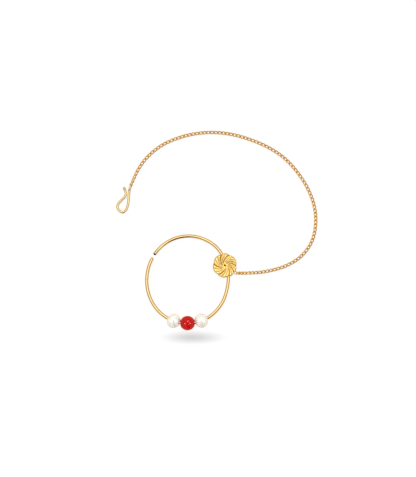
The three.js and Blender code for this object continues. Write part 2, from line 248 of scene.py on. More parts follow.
camera_data = bpy.data.cameras.new("camera")
camera_data.lens = LENS
camera_data.sensor_width = SENSOR
camera = bpy.data.objects.new("camera", camera_data)
bpy.context.collection.objects.link(camera)
aim = Vector((
    hoop_middle.x + (FRAME_PIXELS[0] / 2 - HOOP_MIDDLE_PIXEL[0]) * PIXEL,
    hoop_middle.y - (FRAME_PIXELS[1] / 2 - HOOP_MIDDLE_PIXEL[1]) * PIXEL,
    hoop_height,
))
camera_height = FRAME_PIXELS[1] * PIXEL * LENS / SENSOR
camera.location = (aim + Vector((0, 0, camera_height))) * MM
camera_data.clip_start = 0.01
camera_data.clip_end = 10.0
bpy.context.scene.camera = camera
print("camera height, mm", round(camera_height, 1))

# %% [markdown]
# ## Helpers for materials and meshes
# Colours are written as they are seen on a screen and turned to linear light by one
# function. One function adds a node with its settings and links.

# %% Helpers
MIX_SHARE, MIX_FIRST, MIX_SECOND, MIX_RESULT = 0, 6, 7, 2  # a Mix node's colour sockets


def linear(hex_colour):
    """The linear colour of an sRGB hex value such as D9A441."""
    parts = [int(hex_colour[i:i + 2], 16) / 255 for i in (0, 2, 4)]
    return (*[c / 12.92 if c <= 0.04045 else ((c + 0.055) / 1.055) ** 2.4 for c in parts], 1.0)


def add_node(tree, kind, values=None, links=None, **settings):
    """Adds one node, sets its properties and socket values, and links its inputs.

    A socket goes by its name, or by its number where several share a name.
    """
    node = tree.nodes.new(kind)
    for name, value in settings.items():
        setattr(node, name, value)
    for socket, value in (values or {}).items():
        node.inputs[socket].default_value = value
    for socket, source in (links or {}).items():
        tree.links.new(source, node.inputs[socket])
    return node


def new_material(name, **shader):
    """A material with one Principled shader, whose constants are set on its own sockets."""
    material = bpy.data.materials.new(name)
    material.use_nodes = True
    tree = material.node_tree
    tree.nodes.clear()
    surface = add_node(tree, "ShaderNodeBsdfPrincipled", shader)
    add_node(tree, "ShaderNodeOutputMaterial", links={"Surface": surface.outputs["BSDF"]})
    return material, tree, surface


def new_object(name, points, faces, material, uvs=None, marks=None):
    """A smooth mesh object at the origin, from points in mm. uvs and marks go by point."""
    mesh = bpy.data.meshes.new(name)
    mesh.from_pydata([Vector(p) * MM for p in points], [], faces)
    if uvs:
        layer = mesh.uv_layers.new(name="UVMap")
        for loop in mesh.loops:
            layer.data[loop.index].uv = uvs[loop.vertex_index]
    if marks:
        layer = mesh.attributes.new("relief", "FLOAT", "POINT")
        layer.data.foreach_set("value", marks)
    work = bmesh.new()
    work.from_mesh(mesh)
    bmesh.ops.recalc_face_normals(work, faces=work.faces)
    work.to_mesh(mesh)
    work.free()
    mesh.shade_smooth()
    mesh.materials.append(material)
    piece = bpy.data.objects.new(name, mesh)
    bpy.context.collection.objects.link(piece)
    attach(piece, "root")
    print(name, len(mesh.polygons), "faces")
    return piece


# %% [markdown]
# ## Gold
# The hoop is 22 carat gold wire, drawn through a die and polished: bright, warm, with
# faint lines along its length under a thin clear lacquer. The flower is cast and left
# satin, so its roughness is higher and a fine grain breaks up the shine. The chain is
# polished by tumbling, and the hook is a paler alloy. A metal keeps the default IOR.

# %% Gold materials
GROOVE_MARK = 0.3  # the relief mark of a shallow groove


def drawn_gold(name, colour, shade, roughness):
    """Lacquered gold wire. Its die's lines follow UV, which runs round the wire and along it in mm.

    The links have no UV, so they have no such lines: tumbling has worn them off.
    """
    material, tree, surface = new_material(name, **{
        "Metallic": 1.0, "Coat Weight": 0.35, "Coat Roughness": 0.12,
    })
    place = add_node(tree, "ShaderNodeTexCoord")
    stretch = add_node(
        tree, "ShaderNodeMapping", {"Scale": (60.0, 0.4, 1.0)}, {"Vector": place.outputs["UV"]}
    )
    lines = add_node(
        tree, "ShaderNodeTexNoise", {"Scale": 1.0, "Detail": 3.0}, {"Vector": stretch.outputs["Vector"]}
    )
    wear = add_node(
        tree, "ShaderNodeTexNoise", {"Scale": 700.0, "Detail": 4.0}, {"Vector": place.outputs["Object"]}
    )
    tone = add_node(
        tree, "ShaderNodeMix", {MIX_FIRST: linear(colour), MIX_SECOND: linear(shade)},
        {MIX_SHARE: wear.outputs["Fac"]}, data_type="RGBA",
    )
    rough = add_node(
        tree, "ShaderNodeMapRange", {"To Min": roughness * 0.7, "To Max": roughness * 1.4},
        {"Value": wear.outputs["Fac"]},
    )
    bump = add_node(
        tree, "ShaderNodeBump", {"Strength": 0.12, "Distance": 0.01 * MM}, {"Height": lines.outputs["Fac"]}
    )
    tree.links.new(tone.outputs[MIX_RESULT], surface.inputs["Base Color"])
    tree.links.new(rough.outputs["Result"], surface.inputs["Roughness"])
    tree.links.new(bump.outputs["Normal"], surface.inputs["Normal"])
    return material


def cast_gold(name, colour, groove_colour, deep_colour, roughness):
    """Satin cast gold, rougher in the grooves, which polish doesn't reach. The relief mark is 0 in the
    grooves and 1 on ridges; its colours are painted highlight, pale on the ridges, and painted shade, dark
    in the grooves.
    """
    material, tree, surface = new_material(name, Metallic=1.0)
    place = add_node(tree, "ShaderNodeTexCoord")
    relief = add_node(tree, "ShaderNodeAttribute", attribute_name="relief")
    tone = add_node(tree, "ShaderNodeValToRGB", links={"Fac": relief.outputs["Fac"]})
    ramp = tone.color_ramp
    ramp.elements[0].color = linear(deep_colour)
    ramp.elements[1].color = linear(colour)
    groove = ramp.elements.new(GROOVE_MARK)
    groove.color = linear(groove_colour)
    grain = add_node(
        tree, "ShaderNodeTexNoise", {"Scale": 14000.0, "Detail": 2.0}, {"Vector": place.outputs["Object"]}
    )
    rough = add_node(
        tree, "ShaderNodeMapRange", {"To Min": roughness * 1.5, "To Max": roughness * 0.8},
        {"Value": relief.outputs["Fac"]},
    )
    bump = add_node(
        tree, "ShaderNodeBump", {"Strength": 0.25, "Distance": 0.01 * MM}, {"Height": grain.outputs["Fac"]}
    )
    tree.links.new(tone.outputs["Color"], surface.inputs["Base Color"])
    tree.links.new(rough.outputs["Result"], surface.inputs["Roughness"])
    tree.links.new(bump.outputs["Normal"], surface.inputs["Normal"])
    return material


wire_gold = drawn_gold("drawn_gold_wire", "EACF94", "E0BF7C", 0.15)
hook_gold = drawn_gold("pale_gold_wire", "EDD9A6", "E4CB8C", 0.2)
link_gold = drawn_gold("tumbled_gold_links", "F6CE66", "ECB845", 0.24)
# The flower's colours paint highlights pale on its ridges and shade dark in its grooves, petal feet and
# pit.
flower_gold = cast_gold("satin_cast_gold", "FFEDA8", "EDB440", "96601C", 0.26)

# %% [markdown]
# ## The hoop's wire
# The wire is one skin swept along the bent hoop. Its stations start at the bottom of
# the bore, come out round the cut lip, run along the outside and close over the
# rounded tip, so the hollow end is real and the shell has no seam. The bored end is cut
# a little aslant, so that the bore shows from above.

# %% Hoop wire
END_SLANT = 0.25
SLANT_REACH = 1.6
LIP = 0.05
HOOP_STEPS = 720
HOOP_STATIONS = 300
HOOP_SECTION = 32
BORE_ROWS = 3  # rows of faces from the bore's bottom to its mouth


def sweep(name, path, stations, sides, material, frame_matrix=Matrix(), slant=0.0):
    """Rings round a path. A station is a distance along the path and a radius; radius 0 is a pole.

    slant is how much of the first end is cut away at the top of the wire. It dies out in SLANT_REACH.
    """
    points, faces, uvs, rings = [], [], [], []
    for distance, radius in stations:
        centre = path(distance)
        along = (path(distance + 0.02) - path(distance - 0.02)).normalized()
        side = along.cross(Vector((0, 0, 1))).normalized()
        above = side.cross(along)
        if radius == 0:
            rings.append([len(points)])
            points.append(frame_matrix @ centre)
            uvs.append((0.5, distance))
            continue
        rings.append(range(len(points), len(points) + sides))
        for i in range(sides):
            turn = 2 * math.pi * i / sides
            cut = slant * (1 + math.sin(turn)) / 2 * max(0.0, 1 - distance / SLANT_REACH)
            out = side * math.cos(turn) + above * math.sin(turn)
            points.append(frame_matrix @ (path(distance + cut) + out * radius))
            uvs.append((i / sides, distance))
    for a, b in zip(rings, rings[1:]):
        for i in range(sides):
            j = (i + 1) % sides
            if len(a) == 1:
                faces.append((a[0], b[i], b[j]))
            elif len(b) == 1:
                faces.append((a[i], b[0], a[j]))
            else:
                faces.append((a[i], b[i], b[j], a[j]))
    return new_object(name, points, faces, material, uvs)


def round_end(distance, radius, steps=8):
    """Stations that close a wire with a half ball."""
    angles = [math.pi / 2 * i / steps for i in range(1, steps)]
    stations = [(distance + radius * math.sin(a), radius * math.cos(a)) for a in angles]
    return [*stations, (distance + radius, 0)]


hoop_curve = [hoop_point(BORED_END + (TIP - BORED_END) * i / HOOP_STEPS) for i in range(HOOP_STEPS + 1)]
hoop_path, hoop_length = by_distance(hoop_curve)
wire_radius = HOOP_WIRE / 2
bore_radius = END_BORE / 2
hoop_stations = [
    (END_BORE_DEPTH, 0),
    (END_BORE_DEPTH, bore_radius),
    (END_BORE_DEPTH / 2, bore_radius),
    (LIP, bore_radius),
    (0, bore_radius + LIP / 3),
    (0, wire_radius - LIP),
    (LIP / 3, wire_radius - LIP / 3),
    (LIP, wire_radius),
]
hoop_stations += [
    (LIP + (hoop_length - LIP) * i / HOOP_STATIONS, wire_radius) for i in range(1, HOOP_STATIONS + 1)
]
hoop_stations += round_end(hoop_length, wire_radius)
hoop_wire = sweep(
    "hoop_wire", hoop_path, hoop_stations, HOOP_SECTION, wire_gold, hoop_frame, slant=END_SLANT
)

# The inside of the bore is left dull, and its dark brown is painted shade in the hollow end.
bore_dark, _, _ = new_material("oxidised_bore", **{
    "Base Color": linear("3A2208"), "Roughness": 0.7, "Specular IOR Level": 0.2,
})
hoop_wire.data.materials.append(bore_dark)
for face in hoop_wire.data.polygons[:BORE_ROWS * HOOP_SECTION]:
    face.material_index = 1
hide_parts("hoop_with_flower")

# %% [markdown]
# ## The pinwheel flower
# Seven uneven petals overlap like the blades of a pinwheel. Each rises in ridges to its
# leading edge and drops to the next petal, and all of them curl clockwise on their way
# to the rim. A disc of rings and spokes takes that height from one formula; the spokes
# follow the curl, so an edge never cuts across a face.

# %% Flower
# Where each petal starts, in degrees round the flower, and how many ridges it has.
PETALS = [
    {"start": -5, "ridges": 4},
    {"start": 67, "ridges": 2},
    {"start": 106, "ridges": 3},
    {"start": 168, "ridges": 3},
    {"start": 232, "ridges": 3},
    {"start": 288, "ridges": 2},
    {"start": 321, "ridges": 2},
]
PETAL_SAMPLES = 56
FACE_RINGS = 64
SIDE_STEPS = 6
PETAL_STEP = 0.36
PETAL_FALL = 0.07  # the share of a petal's width that its leading edge drops in
RIDGE_HEIGHT = 0.12
PETAL_SWIRL = 60
SWIRL_GROWTH = 1.3
LOBE_DEPTH = 0.34
LOBE_FULLNESS = 0.6
PIT_DIAMETER = 0.62
PIT_DEPTH = 0.6
PIT_LIP = 0.2
PIT_TAPER = 0.05
PIT_FOOT_TAPER = 0.07
BACK_RIM_WIDTH = 1.25
BACK_HOLLOW = 0.1
BACK_EDGE = 0.15
SIDE_FOOT = 0.08
SIDE_HEIGHT = 0.4
SIDE_ROUNDING = 0.12
RIM_DROP = 0.2
CARVING_AT_RIM = 0.5  # the share of the carving's height that is left at the rim
# Shares of the radius between which each form comes in, or dies out, on the way to the rim.
STEPS_GROW = (0.08, 0.45)
RIDGES_GROW = (0.2, 0.5)
CARVING_FADES = (0.8, 1.0)
RIM_FALLS = (0.9, 1.0)
LOBES_GROW = (0.8, 1.0)
# The relief mark of the smooth middle, of the back and side, and of a groove's bottom.
PLAIN_MARK = 0.5
SIDE_MARK = 0.6
BOTTOM_MARK = 0.45
# How much darker a petal's foot is painted, as painted shade under the previous petal's edge, and how
# narrow that line is.
FOOT_DARKENS = 0.75
FOOT_SHARPNESS = 6


def smooth(value, low, high):
    """Rises smoothly from 0 at low to 1 at high."""
    share = min(1.0, max(0.0, (value - low) / (high - low)))
    return share * share * (3 - 2 * share)


def petal_relief(across, ridges):
    """The rise of a petal to its leading edge and its ridges, both from 0 to 1."""
    top = 1 - PETAL_FALL
    rise = across / top if across < top else 1 - smooth(across, top, 1)
    ridge = (1 - math.cos(2 * math.pi * ridges * rise)) / 2
    return rise, ridge


def petal_angle(petal, across, out):
    """The angle round the flower at a share of the radius. A petal curls clockwise to the rim."""
    start = PETALS[petal]["start"]
    following = PETALS[petal + 1]["start"] if petal + 1 < len(PETALS) else PETALS[0]["start"] + 360
    swirl = PETAL_SWIRL * max(0.0, 1 - out) ** SWIRL_GROWTH
    return math.radians(start + (following - start) * across + swirl)


def flower_rows():
    """The rings of the flower's skin from the middle of its back to the bottom of its pit."""
    flower_radius = FLOWER_DIAMETER / 2
    pit_radius = PIT_DIAMETER / 2
    back_outer = flower_radius - LOBE_DEPTH - BACK_EDGE
    back_inner = flower_radius - LOBE_DEPTH - BACK_RIM_WIDTH
    rows = [("pole", 0, BACK_HOLLOW), ("back", back_inner, BACK_HOLLOW)]
    rows += [("back", back_inner, 0), ("back", back_outer, 0)]
    for i in range(SIDE_STEPS + 1):
        share = i / SIDE_STEPS
        rounding = SIDE_ROUNDING * (1 - math.sin(math.pi / 2 * share))
        rows.append(("side", flower_radius - rounding, SIDE_FOOT + SIDE_HEIGHT * share))
    for i in range(FACE_RINGS + 1):
        share = 1 - i / FACE_RINGS
        rows.append(("face", pit_radius + (flower_radius - pit_radius) * share, 0))
    top = FLOWER_RIM_HEIGHT + FLOWER_CROWN
    rows.append(("pit", pit_radius - PIT_TAPER, top - PIT_LIP))
    rows.append(("pit", pit_radius - PIT_FOOT_TAPER, top - PIT_DEPTH))
    rows.append(("pole", 0, top - PIT_DEPTH))
    return rows


def face_height(across, out, ridges):
    """The height of the carved face, and the relief mark there."""
    rise, ridge = petal_relief(across, ridges)
    spread = smooth(out, *STEPS_GROW)
    ridged = smooth(out, *RIDGES_GROW)
    kept = 1 - (1 - CARVING_AT_RIM) * smooth(out, *CARVING_FADES)
    dome = FLOWER_RIM_HEIGHT + FLOWER_CROWN * (1 - out**2)
    carve = spread * PETAL_STEP * (rise - 1) + ridged * RIDGE_HEIGHT * (ridge - 1)
    height = dome + kept * carve - RIM_DROP * smooth(out, *RIM_FALLS)
    worn = BOTTOM_MARK + (1 - BOTTOM_MARK) * ridge - FOOT_DARKENS * (1 - rise) ** FOOT_SHARPNESS
    return height, PLAIN_MARK + spread * (max(0.0, worn) - PLAIN_MARK)


def make_flower():
    """The flower's skin in its own frame: flat hollow back, scalloped side and carved face."""
    flower_radius = FLOWER_DIAMETER / 2
    points, faces, marks, rings = [], [], [], []
    columns = len(PETALS) * PETAL_SAMPLES
    for kind, row_radius, height in flower_rows():
        if kind == "pole":
            rings.append([len(points)])
            points.append(Vector((0, 0, height)))
            marks.append(0.0)
            continue
        out = row_radius / flower_radius if kind in ("face", "pit") else 1.0
        rings.append(range(len(points), len(points) + columns))
        for column in range(columns):
            petal, sample = divmod(column, PETAL_SAMPLES)
            across = sample / PETAL_SAMPLES
            angle = petal_angle(petal, across, out)
            reach = row_radius
            # The pit takes the darkest mark: its deep colour is painted shade in the hollow.
            mark = 0.0 if kind == "pit" else SIDE_MARK
            if kind in ("side", "face"):
                lobe = LOBE_DEPTH * (1 - math.sin(math.pi * across) ** LOBE_FULLNESS)
                reach -= lobe * smooth(row_radius / flower_radius, *LOBES_GROW)
            if kind == "face":
                height, mark = face_height(across, out, PETALS[petal]["ridges"])
            points.append(Vector((reach * math.cos(angle), reach * math.sin(angle), height)))
            marks.append(mark)
    for a, b in zip(rings, rings[1:]):
        for i in range(columns):
            j = (i + 1) % columns
            if len(a) == 1:
                faces.append((a[0], b[j], b[i]))
            elif len(b) == 1:
                faces.append((a[i], a[j], b[0]))
            else:
                faces.append((a[i], a[j], b[j], b[i]))
    return points, faces, marks


flower_middle = hoop_point(FLOWER_AT)
flower_middle -= flower_middle.normalized() * FLOWER_INSET
flower_middle.z = HOOP_WIRE / 2 - FLOWER_SEAT
flower_points, flower_faces, flower_marks = make_flower()
flower_place = hoop_frame @ Matrix.Translation(flower_middle)
flower = new_object(
    "flower", [flower_place @ p for p in flower_points], flower_faces, flower_gold, marks=flower_marks
)
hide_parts("hoop_with_flower")

# %% [markdown]
# ## Small rings
# The eye on the flower's rim and the eye of the hook are closed rings of round wire.
# One function bends both, and draws the hook's out into a long loop.

# %% Eye rings


def ring_points(bore, wire, straight, place, around=48, section=16):
    """A ring of wire in the XY plane, drawn out along Y, moved by the matrix place."""
    middle = (bore + wire) / 2
    points, faces, uvs = [], [], []
    for i in range(around):
        turn = 2 * math.pi * (i + 0.5) / around
        out = Vector((math.cos(turn), math.sin(turn), 0))
        centre = out * middle + Vector((0, math.copysign(straight / 2, out.y), 0))
        for j in range(section):
            roll = 2 * math.pi * j / section
            offset = out * math.cos(roll) + Vector((0, 0, math.sin(roll)))
            points.append(place @ (centre + offset * wire / 2))
            uvs.append((j / section, middle * turn))
            faces.append((
                i * section + j,
                (i + 1) % around * section + j,
                (i + 1) % around * section + (j + 1) % section,
                i * section + (j + 1) % section,
            ))
    return points, faces, uvs


eye_reach = FLOWER_DIAMETER / 2 + EYE_BORE / 2 + EYE_WIRE - EYE_SUNK
eye_middle = flower_middle + Vector((
    eye_reach * math.cos(EYE_AT),
    eye_reach * math.sin(EYE_AT),
    FLOWER_RIM_HEIGHT / 2,
))
eye_points, eye_faces, eye_uvs = ring_points(
    EYE_BORE, EYE_WIRE, 0, hoop_frame @ Matrix.Translation(eye_middle)
)
chain_eye = new_object("chain_eye", eye_points, eye_faces, wire_gold, eye_uvs)
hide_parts("hoop_with_flower")

# %% [markdown]
# ## The beads
# Pearls are nacre: many thin clear layers that glow white with a soft, wide shine. The
# red bead is polished coral. Each is drilled, with a small worn edge at the hole, and
# threads on the bent wire.

# %% Bead materials


def nacre():
    """Layered pearl: a clear coat over a white body that turns a little warm and a little green."""
    material, tree, surface = new_material("nacre", **{
        "Metallic": 0.3, "Roughness": 0.22, "Coat Weight": 0.5, "Coat Roughness": 0.06,
        "Subsurface Weight": 0.25, "Subsurface Radius": (0.8, 0.75, 0.7), "Subsurface Scale": 0.6 * MM,
    })
    place = add_node(tree, "ShaderNodeTexCoord")
    lustre = add_node(
        tree, "ShaderNodeTexNoise", {"Scale": 350.0, "Detail": 2.0}, {"Vector": place.outputs["Object"]}
    )
    tone = add_node(tree, "ShaderNodeValToRGB", links={"Fac": lustre.outputs["Fac"]})
    ramp = tone.color_ramp
    ramp.elements[0].position, ramp.elements[0].color = 0.3, linear("F0EDE8")
    ramp.elements[1].position, ramp.elements[1].color = 0.7, linear("EDF0EE")
    middle = ramp.elements.new(0.5)
    middle.color = linear("F4F4F0")
    skin = add_node(
        tree, "ShaderNodeTexNoise", {"Scale": 1500.0, "Detail": 3.0}, {"Vector": place.outputs["Object"]}
    )
    bump = add_node(
        tree, "ShaderNodeBump", {"Strength": 0.08, "Distance": 0.02 * MM}, {"Height": skin.outputs["Fac"]}
    )
    tree.links.new(tone.outputs["Color"], surface.inputs["Base Color"])
    tree.links.new(bump.outputs["Normal"], surface.inputs["Normal"])
    return material


def red_coral():
    """Red coral: slightly cloudy, with a glassy polish."""
    material, tree, surface = new_material("polished_red_coral", **{
        "Specular IOR Level": 0.3,
        "Subsurface Weight": 0.1, "Subsurface Radius": (1.0, 0.2, 0.1), "Subsurface Scale": 0.5 * MM,
    })
    place = add_node(tree, "ShaderNodeTexCoord")
    cloud = add_node(
        tree, "ShaderNodeTexNoise", {"Scale": 600.0, "Detail": 4.0}, {"Vector": place.outputs["Object"]}
    )
    tone = add_node(tree, "ShaderNodeValToRGB", links={"Fac": cloud.outputs["Fac"]})
    ramp = tone.color_ramp
    ramp.elements[0].position, ramp.elements[0].color = 0.35, linear("B00408")
    ramp.elements[1].position, ramp.elements[1].color = 0.7, linear("C20A0E")
    rough = add_node(
        tree, "ShaderNodeMapRange", {"To Min": 0.06, "To Max": 0.1}, {"Value": cloud.outputs["Fac"]}
    )
    tree.links.new(tone.outputs["Color"], surface.inputs["Base Color"])
    tree.links.new(rough.outputs["Result"], surface.inputs["Roughness"])
    return material


pearl_nacre = nacre()
coral = red_coral()

# %% Bead shapes
BEAD_ROWS = 40
BEAD_SIDES = 64
HOLE_WEAR = 0.06
HOLE_LIP = 0.02
LIP_DEPTH = 0.005
PEARL_UNEVEN = 0.004  # how far a pearl departs from round, as a share of its radius


def bead_skin(name, angle, diameter, length, material, uneven=0.0):
    """A drilled bead on the wire: an oval outside, a worn edge at each hole, and the bore."""
    centre, along, inward, bow = bead_middle(angle, length)
    bore = HOOP_WIRE / 2 + BORE_CLEARANCE + bow / 2
    edge = math.acos((bore + HOLE_WEAR) / (diameter / 2))
    slopes = [edge * (2 * i / BEAD_ROWS - 1) for i in range(BEAD_ROWS + 1)]
    profile = [(diameter / 2 * math.cos(a), length / 2 * math.sin(a)) for a in slopes]
    end = profile[-1][1]
    profile += [(bore + HOLE_LIP, end - LIP_DEPTH), (bore, end - HOLE_WEAR), (bore, 0)]
    profile += [(bore, HOLE_WEAR - end), (bore + HOLE_LIP, LIP_DEPTH - end)]
    points, faces = [], []
    for row, (row_radius, height) in enumerate(profile):
        following = (row + 1) % len(profile)
        for i in range(BEAD_SIDES):
            j = (i + 1) % BEAD_SIDES
            turn = 2 * math.pi * i / BEAD_SIDES
            dent = uneven * (1 + math.sin(2 * turn + angle * 9) * math.cos(height))
            skin = 1 - dent if row <= BEAD_ROWS else 1
            out = inward * math.cos(turn) + Vector((0, 0, math.sin(turn)))
            points.append(hoop_frame @ (centre + along * height + out * row_radius * skin))
            this_row = (row * BEAD_SIDES + i, row * BEAD_SIDES + j)
            next_row = (following * BEAD_SIDES + j, following * BEAD_SIDES + i)
            faces.append((*this_row, *next_row))
    return new_object(name, points, faces, material)


def make_pearl(name, node, angle):
    """A slightly uneven pearl that takes a packed bead's place."""
    pearl = bead_skin(name, angle, PEARL_DIAMETER, PEARL_LENGTH, pearl_nacre, PEARL_UNEVEN)
    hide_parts(node)
    return pearl


pearl_left = make_pearl("pearl_left", "bead_pearl_left", left_at)
coral_bead = bead_skin("coral_bead", RED_AT, RED_DIAMETER, RED_SKIN_LENGTH, coral)
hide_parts("bead_red")
pearl_right = make_pearl("pearl_right", "bead_pearl_right", right_at)

# %% [markdown]
# ## The hook
# The hook is one wire: a straight stem, a round bend, and a leg that comes back almost
# to the stem and turns out to a melted ball. A smooth curve through a few given points
# gives it, and it is swept as the hoop's wire is.

# %% Hook
HOOK_SIDES = 28
HOOK_STATIONS = 160
BALL_STATIONS = 16
CURVE_SAMPLES = 24
STEM_AT_PINCH = 0.05
# Points along the wire: shares of the hook's width across, and of its length down.
HOOK_STEM = [
    (0.0, 0.0), (0.06, 0.24), (0.08, 0.46), (0.14, 0.68),
    (0.31, 0.91), (0.58, 1.0), (0.84, 0.93), (1.0, 0.78),
]
HOOK_RETURN = [
    (0.93, 0.64), (0.7, 0.52), (0.45, 0.42), (0.18, 0.32),
    (0.055, 0.21), (0.04, 0.13), (0.11, 0.04), (0.22, -0.08),
]
HOOK_AT = Vector((-17.52, 26.91, 0))  # the stem's top, from the hoop's middle

hook_place = Vector((hoop_middle.x, hoop_middle.y, 0)) + HOOK_AT
pinch = HOOK_WIRE + HOOK_PINCH_GAP + STEM_AT_PINCH * HOOK_WIDTH
level = HOOK_WIRE / 2
hook_points = [Vector((-across * HOOK_WIDTH, -down * HOOK_LENGTH, level)) for across, down in HOOK_STEM]
for across, down in HOOK_RETURN:
    hook_points.append(Vector((-pinch - across * (HOOK_WIDTH - pinch), -down * HOOK_LENGTH, level)))
ball_radius = HOOK_BALL / 2
hook_points[-1].z = ball_radius
hook_path, hook_length = by_distance([p + hook_place for p in smooth_curve(hook_points, CURVE_SAMPLES)])
neck = math.sqrt(ball_radius**2 - level**2)
neck_slope = math.asin(neck / ball_radius)
hook_stations = [(-level, 0)] + [(-d, r) for d, r in reversed(round_end(0, level)[:-1])]
hook_stations += [(i * (hook_length - neck) / HOOK_STATIONS, level) for i in range(HOOK_STATIONS + 1)]
for i in range(1, BALL_STATIONS):
    slope = (math.pi / 2 + neck_slope) * i / BALL_STATIONS - neck_slope
    hook_stations.append((hook_length + ball_radius * math.sin(slope), ball_radius * math.cos(slope)))
hook_stations.append((hook_length + ball_radius, 0))
hook_wire = sweep("hook_wire", hook_path, hook_stations, HOOK_SIDES, hook_gold)
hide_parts("chain_hook")

hook_heading = Vector((math.cos(HOOK_HEADING), math.sin(HOOK_HEADING), 0))
hook_eye_middle = hook_place + hook_heading * (HOOK_EYE_LENGTH / 2 - HOOK_EYE_SUNK)
hook_eye_middle.z = (HOOK_EYE_WIDTH - HOOK_EYE_WIRE) * math.sin(HOOK_EYE_TILT) / 2 + HOOK_EYE_WIRE / 2
hook_eye_turn = Matrix.Rotation(HOOK_HEADING - math.pi / 2, 4, "Z") @ Matrix.Rotation(HOOK_EYE_TILT, 4, "Y")
hook_eye_points, hook_eye_faces, hook_eye_uvs = ring_points(
    HOOK_EYE_WIDTH - 2 * HOOK_EYE_WIRE,
    HOOK_EYE_WIRE,
    HOOK_EYE_LENGTH - HOOK_EYE_WIDTH,
    Matrix.Translation(hook_eye_middle) @ hook_eye_turn,
)
hook_eye = new_object("hook_eye", hook_eye_points, hook_eye_faces, hook_gold, hook_eye_uvs)
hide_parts("chain_hook")

# %% [markdown]
# ## The chain
# It is a fine curb chain. Each link is an oval of thick round wire, twisted so that the
# next link lies flat in the same plane, which gives the slanting look of a rope. A chain
# is a rule repeated, so Geometry Nodes make it: the route is resampled at one point for
# each link, and one twisted link is set on every point in line with the route. A slow
# roll lets the chain lie a little unevenly, and the links near the two ends are turned
# so that the first and the last pass through their eyes.

# %% One link's bend
LINK_ROLL = math.radians(7)
LINK_PLAY = math.radians(2)
LINK_FULLNESS = 2 / 3.2  # 1 is an ellipse, and less has fuller ends
LINK_SAMPLES = 20
link_half_length = (LINK_PITCH + LINK_WIRE + LINK_SLACK) / 2
link_half_width = (CHAIN_WIDTH - LINK_WIRE) / 2


def fuller(value):
    """Pushes a sine or cosine outward, so that an oval's ends fill out."""
    return math.copysign(abs(value) ** LINK_FULLNESS, value)


def link_points():
    """The middle line of a link: an oval with full ends, twisted about its length."""
    points = []
    for i in range(LINK_SAMPLES):
        turn = 2 * math.pi * (i + 0.5) / LINK_SAMPLES
        along = fuller(math.cos(turn))
        across = fuller(math.sin(turn)) * link_half_width
        twist = LINK_BEND * along
        twisted = (across * math.cos(twist), across * math.sin(twist))
        points.append(Vector((along * link_half_length, *twisted)))
    return points


def link_object():
    """The link's middle line as an object, for the chain's tree to set out."""
    points = link_points()
    mesh = bpy.data.meshes.new("link_bend")
    mesh.from_pydata([p * MM for p in points], [(i, (i + 1) % len(points)) for i in range(len(points))], [])
    bend = bpy.data.objects.new("link_bend", mesh)
    bpy.context.collection.objects.link(bend)
    return bend


most_roll = LINK_ROLL + LINK_PLAY
rolled = [Matrix.Rotation(roll, 3, "X") @ p for p in link_points() for roll in (-most_roll, most_roll)]
link_rise = max(p.z for p in rolled) + LINK_WIRE / 2
print("the chain's middle lies", round(link_rise, 3), "mm high")

# %% The chain's route
ROUTE_SAMPLES = 40
# Places from the hoop's middle in mm. The third number is 1 where the chain lies on the table.
CHAIN_ROUTE = [
    (16.9, 1.95, 2.1), (18.4, 2.0, 1.35), (20.6, 2.1, 1.1), (23.7, 2.5, 1.0), (29.1, 4.0, 1.0),
    (33.9, 6.9, 1.0), (37.2, 11.4, 1.0), (38.4, 16.8, 1.0), (37.9, 22.4, 1.0), (35.9, 27.6, 1.0),
    (32.8, 32.4, 1.0), (29.0, 36.5, 1.0), (24.4, 39.6, 1.0), (19.2, 41.9, 1.0), (13.8, 43.5, 1.0),
    (8.3, 44.2, 1.0), (2.7, 43.9, 1.0), (-2.8, 42.6, 1.0), (-7.9, 40.3, 1.0), (-12.2, 36.8, 1.05),
    (-14.9, 33.1, 1.4),
]
eye_place = hoop_frame @ eye_middle
route = [
    Vector((hoop_middle.x + x, hoop_middle.y + y, height * link_rise)) for x, y, height in CHAIN_ROUTE
]
out_of_eye = (Vector((route[0].x, route[0].y, eye_place.z)) - eye_place).normalized()
first_link = eye_place + out_of_eye * (EYE_BORE / 2 + link_half_length - LINK_WIRE / 2 - EYE_GAP)
last_link = hook_eye_middle + hook_heading * (
    HOOK_EYE_LENGTH / 2 - HOOK_EYE_WIRE + link_half_length - LINK_WIRE / 2 - EYE_GAP
)
chain_curve = smooth_curve([first_link, *route, last_link], ROUTE_SAMPLES)
chain_length = by_distance(chain_curve)[1]
link_count = round(chain_length / LINK_PITCH) + 1
print("chain", round(chain_length, 1), "mm in", link_count, "links")

# %% The links, by Geometry Nodes
FIRST_ROLL = math.radians(38)
LAST_ROLL = math.radians(48)
FIRST_ROLL_DIES = 0.1  # the share of the route after which the first link's roll is gone
LAST_ROLL_STARTS = 0.94
ROLL_WAVES = 4.5
SHAKE_SEED = 7
LINK_SIDES = 8


